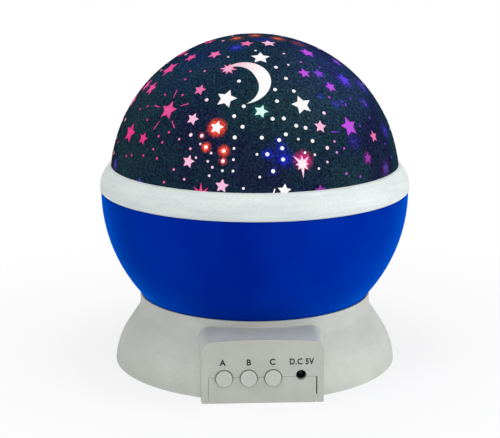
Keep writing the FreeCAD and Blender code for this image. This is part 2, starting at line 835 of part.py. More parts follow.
def motor():
    """The motor's can with the lug for its wires, and its shaft."""
    can = rod("MotorCan", "motor_radius", (*MOTOR_SPOT, "deck_under - motor_height"),
              "motor_height")
    lug_under = "deck_under - motor_height + motor_lug_rise"
    lug = box("MotorLug", (f"{MOTOR_SPOT[0]} - motor_lug_half",
                           f"{MOTOR_SPOT[1]} - motor_radius - motor_lug_out", lug_under),
              (f"{MOTOR_SPOT[0]} + motor_lug_half", f"{MOTOR_SPOT[1]} - motor_radius / 2",
               f"{lug_under} + motor_lug_high"))
    shaft_under = "deck_under - shaft_deep"
    shaft_top = "idler_under + idler_large_thick / 2 + pinion_thick / 2 + shaft_over"
    bore = rod("MotorBore", "motor_shaft + bearing_gap", (*MOTOR_SPOT, shaft_under),
               f"shaft_deep + {PAST}")
    node("motor_can", cut("Motor", fuse("MotorSolid", [can, lug]), [bore]))
    node("motor_shaft", rod("MotorShaft", "motor_shaft", (*MOTOR_SPOT, shaft_under),
                            f"{shaft_top} - ({shaft_under})"))


def lamp_column():
    """The hollow post on the axis, its clip over the ball's floor, and the lamp holder on top."""
    post = fuse("PostSolid", [
        rod("PostFoot", "post_flange", ("0", "0", "deck_top"), "post_flange_thick"),
        rod("PostTube", "post_radius", ("0", "0", "deck_top"), "post_top - deck_top"),
    ])
    node("lamp_post", cut("Post", post, [
        rod("PostBore", "post_bore", ("0", "0", f"deck_top - {PAST}"),
            f"post_top - deck_top + 2 * {PAST}")
    ]))
    node("post_clip", tube("PostClip", "clip_radius", "post_radius",
                           ("0", "0", "floor_under + floor_thick + clip_above"), "clip_thick"))
    holder = fuse("HolderSolid", [
        rod("HolderPlate", "holder_radius", ("0", "0", "post_top"), "holder_thick"),
        rod("HolderCollar", "holder_collar", ("0", "0", "post_top - holder_drop"), "holder_drop"),
    ])
    node("lamp_holder", cut("Holder", holder, [
        rod("HolderSocket", "post_radius", ("0", "0", f"post_top - holder_drop - {PAST}"),
            f"holder_drop + {PAST}"),
        rod("HolderBore", "post_bore", ("0", "0", f"post_top - {PAST}"),
            f"holder_thick + 2 * {PAST}"),
    ]))
    node("lamp_board", rod("LampBoard", "lamp_board_radius", ("0", "0", "post_top + holder_thick"),
                           "lamp_board_thick"))
    seat = "post_top + holder_thick + lamp_board_thick"
    for turn, colour in enumerate(("blue", "green", "red", "white")):
        spot = polar("lamp_circle", f"{90 * turn}")
        rise = "lamp_height - lamp_radius"
        node(f"lamp_{colour}", fuse(f"Lamp{colour.title()}", [
            rod(f"LampFlange{turn}", "lamp_flange", (*spot, seat), "lamp_flange_thick"),
            rod(f"LampBarrel{turn}", "lamp_radius", (*spot, seat), rise),
            ball(f"LampTip{turn}", "lamp_radius", (*spot, f"{seat} + {rise}")),
        ]))


def panel_controls():
    """Three push buttons with their plungers and switches, the board and the power inlet."""
    behind = "panel_face - panel_wall - slack"
    stem_end = "board_front + switch_deep + plunger_out"
    for index, letter in enumerate("abc"):
        spot = button_place(index)
        cap = across_panel(f"Cap{index}", "button_radius", spot, "button_level",
                           "panel_face + button_proud",
                           f"panel_face + button_proud - ({behind})")
        flange = across_panel(f"Flange{index}", "button_flange", spot, "button_level",
                              behind, "flange_thick")
        stem = across_panel(f"Stem{index}", "stem_radius", spot, "button_level",
                            behind, f"{behind} - ({stem_end})")
        node(f"button_{letter}", fuse(f"Button{letter.upper()}", [cap, flange, stem]))
        node(f"plunger_{letter}", across_panel(
            f"Plunger{index}", "plunger_radius", spot, "button_level", stem_end,
            "plunger_out + plunger_in",
        ))
        half = "switch_side / 2"
        body = box(f"SwitchBody{index}", (f"{spot} - {half}", "-board_front - switch_deep",
                                          f"button_level - {half}"),
                   (f"{spot} + {half}", "-board_front", f"button_level + {half}"))
        well = across_panel(f"SwitchWell{index}", "plunger_radius + slack", spot, "button_level",
                            f"board_front + switch_deep + {PAST}", f"plunger_well + {PAST}")
        node(f"switch_{letter}", cut(f"Switch{letter.upper()}", body, [well]))
    node("main_board", box("MainBoard", ("-board_half", "-board_front", "board_under"),
                           ("board_half", "-board_front + board_thick", "board_top")))
    front = "panel_face - panel_wall - slack"
    housing = box("InletBody", ("inlet_across - inlet_half_wide", f"-({front})",
                                "inlet_level - inlet_half_high"),
                  ("inlet_across + inlet_half_wide", "-board_front",
                   "inlet_level + inlet_half_high"))
    bore = across_panel("InletBore", "inlet_bore", "inlet_across", "inlet_level",
                        f"{front} + {PAST}", f"inlet_deep + {PAST}")
    node("power_inlet", cut("Inlet", housing, [bore]))
    node("inlet_pin", across_panel("InletPin", "inlet_pin", "inlet_across", "inlet_level",
                                   f"{front} - inlet_pin_back", "inlet_deep - inlet_pin_back"))


def batteries():
    """Three cells, each the other way round from its neighbours, between leaf springs and plates."""
    for index in range(3):
        across = f"cell_first + {index} * cell_pitch"
        sign = "" if index % 2 == 0 else "-"
        away = "-" if sign == "" else ""
        turn = 1 if sign == "" else -1
        plate_low, plate_high = sorted_pair(f"{sign}(bay_half - contact_thick)", f"{sign}bay_half",
                                            turn)
        node(f"contact_plate_{index + 1}", box(
            f"Plate{index}", (plate_low, f"{across} - contact_half", "cell_level - contact_half"),
            (plate_high, f"{across} + contact_half", "cell_level + contact_half")))
        nub_end = f"{sign}(bay_half - contact_thick)"
        body_end = f"{sign}(bay_half - contact_thick - nub_length)"
        tail_end = f"{sign}(bay_half - contact_thick - nub_length - cell_length)"
        low, high = sorted_pair(tail_end, body_end, turn)
        nub_low, nub_high = sorted_pair(body_end, nub_end, turn)
        node(f"cell_{index + 1}", fuse(f"Cell{index}", [
            rod(f"CellCan{index}", "cell_radius", (low, across, "cell_level"),
                f"{high} - ({low})", "x"),
            rod(f"CellNub{index}", "nub_radius", (nub_low, across, "cell_level"),
                f"{nub_high} - ({nub_low})", "x"),
        ]))
        leaf_spring(index, across, away, tail_end, turn)


def sorted_pair(first, last, turn):
    return (first, last) if turn > 0 else (last, first)


def leaf_spring(index, across, away, tail_end, turn):
    """A bent strip: a flat back on the bay's wall and a bowed leaf that presses on the cell."""
    wall = f"{away}bay_half"
    body = document.addObject("PartDesign::Body", f"Leaf{index}")
    inward = "" if turn > 0 else "-"
    thick = f"{inward}contact_thick"
    low = f"{across} - contact_half"
    high = f"{across} + contact_half"
    corners = [
        (wall, low),
        (f"{wall} + {thick}", low),
        (f"{wall} + {thick}", f"{high} - contact_thick"),
        (f"{tail_end} - {thick}", f"{across} + leaf_flat / 2"),
        (f"{wall} + 3 * {thick}", f"{low} + contact_thick"),
        (f"{wall} + 4 * {thick}", f"{low} + contact_thick"),
        (tail_end, across),
        (tail_end, f"{across} + leaf_flat"),
        (f"{wall} + {thick}", high),
        (wall, high),
    ]
    sketch = outline(body, f"LeafProfile{index}", "XY_Plane", corners,
                     offset="cell_level - contact_half")
    pad = body.newObject("PartDesign::Pad", f"LeafPad{index}")
    pad.Profile = sketch
    pad.setExpression("Length", bound("2 * contact_half"))
    return node(f"contact_spring_{index + 1}", body)


def angled_wire(name, across, top):
    """A wire that comes down the post, bends and runs forward to the board."""
    level = "wire_level"
    corner = document.addObject("Part::Torus", f"{name}Bend")
    corner.setExpression("Radius1", bound("wire_bend"))
    corner.setExpression("Radius2", bound("wire_radius"))
    corner.Angle3 = 90
    corner.Placement = Placement(Vector(), Rotation(Vector(0, 1, 0), 90))
    place(corner, (across, "-wire_bend", f"{level} + wire_bend"))
    upright = rod(f"{name}Upright", "wire_radius", (across, "0", f"{level} + wire_bend"),
                  f"{top} - ({level} + wire_bend)")
    run = rod(f"{name}Run", "wire_radius", (across, "-board_front + board_thick", level),
              "board_front - board_thick - wire_bend", "y")
    return fuse(name, [upright, corner, run])


def wires():
    lamp_wires = [
        angled_wire(f"LampWire{index}", f"({index} - 1.5) * wire_pitch",
                    "post_top + holder_thick")
        for index in range(4)
    ]
    node("lamp_wires", fuse("LampWires", lamp_wires))
    board_back = "-board_front + board_thick"
    lug_face = f"{MOTOR_SPOT[1]} - motor_radius - motor_lug_out"
    lug_middle = "deck_under - motor_height + motor_lug_rise + motor_lug_high / 2"
    node("motor_wires", fuse("MotorWires", [
        rod(f"MotorWire{index}", "wire_radius",
            (f"{MOTOR_SPOT[0]} {sign} wire_pitch", board_back, lug_middle),
            f"{lug_face} - ({board_back})", "y")
        for index, sign in enumerate("-+")
    ]))
    node("battery_wires", fuse("BatteryWires", [
        rod(f"BatteryWire{index}", "wire_radius",
            (f"battery_wire_x {sign} wire_pitch", board_back, "battery_wire_level"),
            f"bay_front - bay_wall - ({board_back})", "y")
        for index, sign in enumerate("-+")
    ]))


bowl()
star_dome()
collar_ring()
base_shell()
bottom_cover()
feet()
cover_screws()
battery_door()
gear_deck()
ring_gear()
idler_gear()
node("idler_spindle", rod("IdlerSpindle", "idler_pin", (*IDLER_SPOT, "deck_under"),
                          "idler_top + spindle_over - deck_under"))
motor_pinion()
motor()
lamp_column()
panel_controls()
batteries()
wires()
document.recompute()

for item in document.Objects:
    if "Invalid" in item.State or "Error" in item.State:
        raise RuntimeError(f"{item.Name} failed: {item.State}")
for item in nodes:
    if item.Shape.isNull() or not item.Shape.isValid():
        raise RuntimeError(f"{item.Label} has no valid shape")
os.makedirs("parts", exist_ok=True)
for item in nodes:
    item.Shape.exportStep(f"parts/{item.Label}.step")
    print(item.Label, len(item.Shape.Solids), round(item.Shape.Volume, 1))
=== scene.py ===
"""Dressed scene of the star night light: dark star dome, white collar, blue ball and bell base."""

import json
import math
import random

import bmesh
import bpy
from mathutils import Euler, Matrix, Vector


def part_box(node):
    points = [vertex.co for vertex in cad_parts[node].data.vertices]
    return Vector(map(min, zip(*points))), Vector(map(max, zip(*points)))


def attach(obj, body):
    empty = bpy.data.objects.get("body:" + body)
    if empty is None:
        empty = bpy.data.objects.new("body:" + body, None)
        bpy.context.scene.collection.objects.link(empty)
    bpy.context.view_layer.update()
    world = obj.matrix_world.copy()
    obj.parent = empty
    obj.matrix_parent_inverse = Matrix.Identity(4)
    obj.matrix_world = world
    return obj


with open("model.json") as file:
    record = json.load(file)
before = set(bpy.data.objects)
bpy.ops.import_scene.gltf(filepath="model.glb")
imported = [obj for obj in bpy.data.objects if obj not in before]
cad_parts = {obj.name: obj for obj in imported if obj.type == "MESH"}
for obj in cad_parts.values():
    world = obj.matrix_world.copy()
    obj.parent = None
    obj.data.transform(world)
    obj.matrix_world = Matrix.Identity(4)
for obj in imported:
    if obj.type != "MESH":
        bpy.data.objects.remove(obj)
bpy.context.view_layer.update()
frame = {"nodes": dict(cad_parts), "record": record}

MM = 0.001
NODES = frame["nodes"]

# Camera, found from the photograph's own outlines
CAMERA_AZIMUTH = math.radians(-2.95)
CAMERA_DISTANCE = 0.6356
CAMERA_HEIGHT = 0.2123
CAMERA_TILT = math.radians(13.46)
CAMERA_LENS = 110.1
CAMERA_SHIFT = -0.0095

# The dome's sphere, from its CAD node
DOME_LOW, DOME_HIGH = (Vector(corner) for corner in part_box("star_dome"))
DOME_RADIUS = DOME_HIGH.z - DOME_LOW.z
DOME_CENTRE = Vector((0, 0, DOME_LOW.z))
WINDOW_LIFT = 0.10 * MM
# How the dome's pattern is turned, raised and, about one level, spread; in degrees
PATTERN_TURN = 0.9
PATTERN_RISE = 1.0
PATTERN_SPREAD = 1.03
PATTERN_LEVEL = 39

# Plastic's grain, and the control panel's face: all that lies in front of a plane, and the painted
# shade that darkens it
GRAIN = 1600.0
PANEL_SKIN = -61.8 * MM
PANEL_PAINTED_SHADE = (0.86, 0.86, 0.86, 1)


def srgb(red, green, blue):
    """A colour written in 0 to 255 display values, as the linear one that materials need."""
    def linear(value):
        value /= 255
        return value / 12.92 if value <= 0.04045 else ((value + 0.055) / 1.055) ** 2.4
    return (linear(red), linear(green), linear(blue), 1.0)


def make_camera():
    """The photograph's own view of the object."""
    data = bpy.data.cameras.new("photo_camera")
    data.sensor_fit = "HORIZONTAL"
    data.sensor_width = 36
    data.lens = CAMERA_LENS
    data.shift_x = CAMERA_SHIFT
    camera = bpy.data.objects.new("photo_camera", data)
    camera.location = (
        CAMERA_DISTANCE * math.sin(CAMERA_AZIMUTH),
        -CAMERA_DISTANCE * math.cos(CAMERA_AZIMUTH),
        CAMERA_HEIGHT,
    )
    camera.rotation_euler = Euler((math.pi / 2 - CAMERA_TILT, 0, CAMERA_AZIMUTH))
    bpy.context.collection.objects.link(camera)
    bpy.context.scene.camera = camera


class Graph:
    """A material's nodes, with short calls for the few kinds that the finishes need."""

    def __init__(self, name):
        self.material = bpy.data.materials.new(name)
        self.material.use_nodes = True
        self.tree = self.material.node_tree
        self.shader = self.tree.nodes["Principled BSDF"]
        self.place = self.tree.nodes.new("ShaderNodeTexCoord").outputs["Object"]

    def set(self, **values):
        for name, value in values.items():
            self.shader.inputs[name.replace("_", " ")].default_value = value

    def link(self, output, socket):
        if isinstance(socket, str):
            socket = self.shader.inputs[socket]
        self.tree.links.new(output, socket)

    def feed(self, value, socket):
        """Links another node's output to a socket, or sets the socket to a plain value."""
        if isinstance(value, bpy.types.NodeSocket):
            self.link(value, socket)
        else:
            socket.default_value = value

    def axis(self, name):
        """A point's place along X, Y or Z."""
        split = self.tree.nodes.new("ShaderNodeSeparateXYZ")
        self.link(self.place, split.inputs[0])
        return split.outputs[name]

    def noise(self, scale, detail=3.0, roughness=0.55, stretch=None):
        node = self.tree.nodes.new("ShaderNodeTexNoise")
        node.inputs["Scale"].default_value = scale
        node.inputs["Detail"].default_value = detail
        node.inputs["Roughness"].default_value = roughness
        place = self.place
        if stretch:
            mapping = self.tree.nodes.new("ShaderNodeMapping")
            mapping.inputs["Scale"].default_value = stretch
            self.link(place, mapping.inputs["Vector"])
            place = mapping.outputs["Vector"]
        self.link(place, node.inputs["Vector"])
        return node.outputs["Fac"]

    def ramp(self, value, *stops):
        node = self.tree.nodes.new("ShaderNodeValToRGB")
        elements = node.color_ramp.elements
        while len(elements) < len(stops):
            elements.new(0.5)
        for element, (spot, colour) in zip(elements, stops):
            element.position = spot
            element.color = colour if len(colour) == 4 else (*colour, 1)
        self.link(value, node.inputs["Fac"])
        return node.outputs["Color"]

    def mix(self, factor, first, second, kind="MIX"):
        node = self.tree.nodes.new("ShaderNodeMix")
        node.data_type = "RGBA"
        node.blend_type = kind
        for name, value in (("Factor", factor), ("A", first), ("B", second)):
            self.feed(value, node.inputs[name])
        return node.outputs["Result"]

    def speckled(self, colour, scale, dark):
        """A colour with fine darker grains."""
        grains = self.ramp(self.noise(scale, 2.0), (0.3, dark), (0.7, (1, 1, 1)))
        return self.mix(1.0, colour, grains, "MULTIPLY")

    def maths(self, kind, *values, clamp=False):
        node = self.tree.nodes.new("ShaderNodeMath")
        node.operation = kind
        node.use_clamp = clamp
        for socket, value in zip(node.inputs, values):
            self.feed(value, socket)
        return node.outputs["Value"]

    def bump(self, height, strength, distance):
        node = self.tree.nodes.new("ShaderNodeBump")
        node.inputs["Strength"].default_value = strength
        node.inputs["Distance"].default_value = distance
        self.link(height, node.inputs["Height"])
        self.link(node.outputs["Normal"], "Normal")


def plastic(name, dark, light, roughness=0.45, cloud=180.0, relief=0.1, streak=(1, 1, 1),
            panel_painted_shade=False):
    """Moulded plastic: two close tones in soft clouds, a fine grain, a faint relief and, when
    asked, painted shade on the control panel's face.
    """
    graph = Graph(name)
    clouds = graph.ramp(graph.noise(cloud, 4.0, stretch=streak), (0.32, dark), (0.68, light))
    tone = graph.speckled(clouds, GRAIN, (0.90, 0.90, 0.90))
    # Painted shade: the control panel's upright face, in front of PANEL_SKIN, is darkened to stand
    # for the lesser light that falls on it
    if panel_painted_shade:
        face = graph.maths("LESS_THAN", graph.axis("Y"), PANEL_SKIN)
        tone = graph.mix(face, tone, graph.mix(1.0, tone, PANEL_PAINTED_SHADE, "MULTIPLY"))
    graph.link(tone, "Base Color")
    patches = graph.noise(cloud * 2, 2.0)
    graph.link(graph.maths("MULTIPLY_ADD", patches, 0.12, roughness - 0.06), "Roughness")
    graph.bump(graph.noise(GRAIN, 2.0), relief, 0.05 * MM)
    return graph.material


def ball_blue():
    """Saturated matt blue in soft patches, with an azure sheen where the ball turns away."""
    graph = Graph("ball_blue")
    tone = graph.ramp(graph.noise(22.0, 2.0, stretch=(1, 1, 0.5)),
                      (0.35, srgb(0, 28, 140)), (0.65, srgb(0, 42, 160)))
    graph.link(graph.speckled(tone, 1500.0, (0.86, 0.86, 0.9)), "Base Color")
    graph.set(Roughness=0.4, Specular_IOR_Level=0.0, Sheen_Weight=1.0, Sheen_Roughness=0.4,
              Sheen_Tint=srgb(0, 120, 255))
    graph.bump(graph.noise(60.0, 2.0), 0.06, 0.3 * MM)
    return graph.material


def metal(name, colour, roughness=0.3, brushed=(1, 1, 60)):
    """Bare metal with fine streaks along one axis."""
    graph = Graph(name)
    streak = graph.noise(300.0, 3.0, stretch=brushed)
    dull = tuple(0.75 * part for part in colour[:3])
    graph.link(graph.ramp(streak, (0.3, dull), (0.7, colour)), "Base Color")
    graph.set(Metallic=1.0, Roughness=roughness)
    graph.bump(streak, 0.05, 0.02 * MM)
    return graph.material


def lens(name, colour, strength):
    """A lit lamp's clear resin, whiter in small patches."""
    graph = Graph(name)
    glow = graph.ramp(graph.noise(500.0, 1.0), (0.3, colour), (0.8, (1, 1, 1)))
    graph.link(glow, "Emission Color")
    graph.set(Base_Color=colour, Roughness=0.12, Emission_Strength=strength, Coat_Weight=0.6)
    return graph.material


def board_green():
    """A circuit board's lacquer, with paler tracks under it."""
    graph = Graph("board_green")
    lacquer, track = srgb(18, 84, 44), srgb(40, 120, 66)
    tracks = graph.noise(260.0, 0.0, stretch=(1, 6, 6))
    graph.link(graph.ramp(tracks, (0.47, lacquer), (0.50, track), (0.53, lacquer)), "Base Color")
    graph.set(Roughness=0.35, Coat_Weight=0.4)
    return graph.material


def cell_sleeve():
    """A dry cell: a dark sleeve with a copper-coloured end, bare metal at its ends."""
    graph = Graph("cell_sleeve")
    bare, sleeve, copper = srgb(170, 172, 176), srgb(24, 26, 32), srgb(176, 112, 60)
    along = graph.maths("MULTIPLY_ADD", graph.axis("X"), 20.0, 0.5)
    band = graph.ramp(along, (0.0, bare), (0.08, sleeve), (0.66, sleeve), (0.68, copper),
                      (0.92, copper), (0.95, bare))
    graph.link(graph.speckled(band, 900.0, (0.85, 0.85, 0.85)), "Base Color")
    graph.set(Roughness=0.3, Metallic=0.5)
    return graph.material


# Windows of the dome. Azimuth is 0 at the front and grows to the viewer's right. Elevation is the
# angle at the dome's centre above the plane of its rim. Both are in degrees. Sizes are outer radii
# in millimetres, and turns are clockwise.
WHITE = srgb(255, 252, 255)
BLUSH = srgb(252, 188, 222)
ROSE = srgb(238, 104, 172)
PINK = srgb(228, 58, 144)
HOT = srgb(226, 16, 124)
MAGENTA = srgb(150, 6, 160)
LILAC = srgb(190, 60, 224)
VIOLET = srgb(122, 40, 208)
INDIGO = srgb(76, 24, 214)
DUSK = srgb(44, 14, 140)
ORANGE = srgb(240, 64, 8)
EMBER = srgb(206, 78, 44)
EMBER_GLOW = srgb(255, 72, 0)
DEEP_BLUE = srgb(14, 6, 178)
MINT = srgb(216, 255, 244)

# Round the dome, the light's colour at each azimuth: pink to the left, white in front, violet to
# the right
ZONES = [
    (-180, VIOLET), (-120, HOT), (-60, HOT), (-42, PINK), (-28, BLUSH), (-14, WHITE), (18, WHITE),
    (26, BLUSH), (34, LILAC), (46, VIOLET), (70, INDIGO), (110, DEEP_BLUE), (150, LILAC),
    (180, VIOLET),
]

# The crescent: its place, its outer circle, its greatest width, and the angles of its two ends
MOON_PLACE = (-7, 49)
MOON_RADIUS = 11.2
MOON_OFFSET = -2.6
MOON_WIDTH = 5.4
MOON_HEAD = 131
MOON_TIP = -80
MOON_STEPS = 40
MOON_HEAD_WIDTH = 0.5

# Five-pointed stars: place, size, turn and colour. Their inner corners lie at this share of the
# size
STAR_WAIST = 0.5
STARS = [
    (-18, 41, 4.3, 12, WHITE), (19, 38, 4.3, -8, WHITE), (1, 62, 4.0, 4, WHITE),
    (-1, 36, 2.9, 20, MINT), (-20, 29.4, 2.9, 8, WHITE), (-32, 32, 2.7, 14, BLUSH),
    (-34, 44, 2.7, 4, ROSE), (-47, 34.2, 4.2, 2, PINK), (-68, 22.5, 4.4, 6, HOT),
    (-56, 22, 2.8, 10, HOT), (-73, 51, 4.4, 24, PINK), (-64, 59, 3.0, 0, PINK),
    (-42, 63, 3.0, 6, ROSE), (-16, 73, 3.0, 0, ROSE), (17, 73, 3.2, 10, BLUSH),
    (51, 63, 3.4, 30, LILAC), (29, 52, 2.8, 6, LILAC), (39.5, 51, 2.6, 16, VIOLET),
    (41, 44.2, 2.7, 0, LILAC), (57, 46, 3.8, 20, INDIGO), (73, 41, 3.6, 0, DUSK),
    (25, 29, 2.7, 14, BLUSH), (40.2, 27.6, 4.3, -4, LILAC), (54, 22, 2.6, 0, ROSE),
    (46, 15, 2.5, 10, MAGENTA), (58, 9.3, 3.2, 4, DUSK), (-30, 16.4, 2.7, 10, BLUSH),
    (-16, 8.6, 2.8, 6, BLUSH), (7, 7, 2.8, 8, WHITE), (-72, 41, 3.6, 0, PINK),
    (-83, 41, 3.6, 12, PINK), (-88, 33, 3.8, 0, PINK), (-53, 6, 2.4, 0, DUSK),
    (-76, 9, 2.8, 10, DUSK), (21, 6.2, 2.4, 0, MAGENTA), (60, 35, 2.2, 0, DUSK),
    (-2, 84, 2.6, 0, EMBER), (-50, 78, 2.4, 0, EMBER), (52, 77, 2.6, 14, EMBER),
    (-86, 70, 2.8, 8, HOT), (88, 70, 3.0, 8, DUSK), (-26, 69, 2.2, 10, DEEP_BLUE),
    (74, 54, 3.0, 8, VIOLET),
]
# Eight-pointed bursts: their place, the reach of each point clockwise from the top, colour and
# how pale their middle is
BURSTS = [
    (-22, 55, (3.2, 3.4, 3.8, 3.6, 3.2, 3.0, 3.8, 3.2), ROSE, 0.35),
    (-24, 5, (5.0, 4.2, 4.6, 3.6, 3.6, 3.6, 4.4, 4.4), HOT, 0.1),
    (14.5, 16, (3.6, 4.2, 2.6, 3.2, 5.6, 2.8, 2.8, 5.0), BLUSH, 0.8),
]
BURST_NOTCH = 1.7
# Thin dashes round a place: how far from it in millimetres, their directions in degrees from the
# right, and their colour
RAY_HALF = 1.9
RAY_WIDTH = 0.28
RAYS = [
    (-47, 34.2, 7.6, (97, 28, -45, -115, 172), PINK),
    (40, 25.5, 8.0, (171,), VIOLET),
    (1, 1, 6.0, (70,), WHITE),
]
DOT_SIDES = 12
BRIGHT_DOT = 0.78
SMALL_DOT = 0.52
BRIGHT_DOTS = [
    (-13, 49), (-28, 40), (-9, 38), (-13, 34), (-9, 30), (-12, 26), (4, 33), (9, 33), (7, 40),
    (7, 45), (17, 44), (15, 50), (11, 56), (14, 30), (18, 29), (9, 27), (20, 24), (29, 34),
    (26, 21), (-31, 26), (-1, 26),
]
SMALL_DOTS = [
    (-12, 22), (-21, 20), (-26, 23), (-30, 21), (-22, 17), (-12, 18), (-16, 14), (-12, 14),
    (-20, 15), (-21, 12), (-27, 18), (-3, 20), (-2, 12), (-8, 8), (21, 57), (14, 25), (30, 23),
    (30, 19), (34, 20), (16, 20), (20, 19), (21, 14), (25, 16), (47, 27), (-49, 52), (-38, 53),
    (-48, 48), (-55, 40), (-43, 41), (-63, 34), (-69, 32), (-58, 29), (-42, 26), (-47, 24),
    (-36, 24), (-44, 22), (-48, 19), (-53, 16), (-65, 14), (-61, 15), (-45, 16), (-31, 10),
    (-36, 13), (-27, 62), (-3, 67), (24, 64), (33, 58), (45, 54), (50, 38), (60, 34), (57, 29),
    (62, 18), (40, 9), (33, 11), (-40, 8), (-60, 6), (-79, 17), (66, 12), (36, 40), (44, 36),
]
LIT_DOTS = [
    (-26, 26, BLUSH), (-23.4, 22, WHITE), (-16, 21, WHITE), (-16, 17.4, BLUSH),
    (1, 20, WHITE), (6, 25, WHITE), (7, 22, WHITE), (7, 18, WHITE), (3, 14, WHITE),
]
# Soft glow on the dome's skin: place, reach in millimetres, colour and strength
HALOS = [
    (-20, 29.4, 4.7, EMBER_GLOW, 2.6), (-26, 26, 1.9, ORANGE, 0.8),
    (-23.4, 22, 2.6, EMBER_GLOW, 1.9), (-16, 21, 2.9, EMBER_GLOW, 2.2),
    (-16, 17.4, 2.1, ORANGE, 1.2), (1, 20, 3.0, DEEP_BLUE, 1.2),
    (7, 22, 2.8, DEEP_BLUE, 0.8), (7, 18, 3.0, DEEP_BLUE, 1.2), (3, 14, 2.4, DEEP_BLUE, 0.8),
    (5, 20, 7.0, DEEP_BLUE, 0.3), (9, 18, 5.0, DEEP_BLUE, 0.5), (6, 25, 2.4, DEEP_BLUE, 0.7),
    (15, 17.4, 4.8, HOT, 1.6), (-1, 36, 4.2, srgb(0, 130, 110), 0.6),
    (46, 15, 3.6, MAGENTA, 0.5), (58, 9.3, 4.6, MAGENTA, 0.5), (-76, 9, 4.0, DUSK, 0.7),
    (57, 46, 5.4, INDIGO, 0.7), (73, 41, 5.4, INDIGO, 0.7), (41, 45, 3.6, INDIGO, 0.5),
    (51, 63, 4.4, INDIGO, 0.5), (39.5, 51, 3.4, INDIGO, 0.4), (38, 37, 2.6, INDIGO, 0.6),
    (43, 37, 2.4, INDIGO, 0.6), (31, 41, 2.0, DEEP_BLUE, 0.8), (60, 35, 3.4, INDIGO, 0.6),
    (68, 22, 5.0, INDIGO, 0.6), (40.2, 22, 5.0, INDIGO, 0.3), (-26, 69, 4.6, DEEP_BLUE, 0.7),
    (-2, 84, 4.6, EMBER, 0.5), (-50, 78, 4.6, EMBER, 0.4), (52, 77, 4.8, EMBER, 0.5),
    (24, 77, 3.6, DEEP_BLUE, 0.5), (6, 78, 4.0, DEEP_BLUE, 0.4), (66, 70, 4.4, EMBER, 0.4),
    (58, 52, 40.0, srgb(66, 52, 190), 0.14), (-58, 60, 36.0, srgb(30, 60, 190), 0.08),
]
HALO_FALL = 1.5

# Behind what the photograph shows, a seeded scatter: each kind's least distance in degrees from
# the others, its tries, and its smallest and largest size
SCATTER_SEED = 41
SCATTER = [("star", 11, 700, (2.6, 4.4)), ("dot", 5, 900, (0.6, 1.0))]
SCATTER_HEIGHTS = (0.12, 0.985)
# The photograph shows this many degrees to each side, and fewer above a level
SEEN_ASIDE = 78
SEEN_HIGH = 72
SEEN_ASIDE_HIGH = 60


def on_dome(azimuth, elevation):
    """The outward direction, the way to the right and the way up at a place on the dome."""
    level = PATTERN_LEVEL + (elevation + PATTERN_RISE - PATTERN_LEVEL) * PATTERN_SPREAD
    a, e = math.radians(azimuth + PATTERN_TURN), math.radians(level)
    outward = Vector((math.sin(a) * math.cos(e), -math.cos(a) * math.cos(e), math.sin(e)))
    right = Vector((math.cos(a), math.sin(a), 0))
    return outward, right, outward.cross(right)


def dome_point(basis, across, up):
    """A point just over the dome, so many millimetres to the right of a place and above it."""
    outward, right, upward = basis
    spot = outward * DOME_RADIUS + right * (across * MM) + upward * (up * MM)
    return DOME_CENTRE + spot.normalized() * (DOME_RADIUS + WINDOW_LIFT)


def pale(colour, share):
    """A colour mixed with a share of white."""
    return tuple(part + (1 - part) * share for part in colour[:3]) + (1.0,)


def add(name, mesh, material):
    """A mesh as an object of the scene, in one material."""
    mesh.materials.clear()
    mesh.materials.append(material)
    item = bpy.data.objects.new(name, mesh)
    bpy.context.collection.objects.link(item)
    return item


def meshed(name, built):
    """A mesh made from a bmesh, which is freed."""
    mesh = bpy.data.meshes.new(name)
    built.to_mesh(mesh)
    built.free()
    return mesh


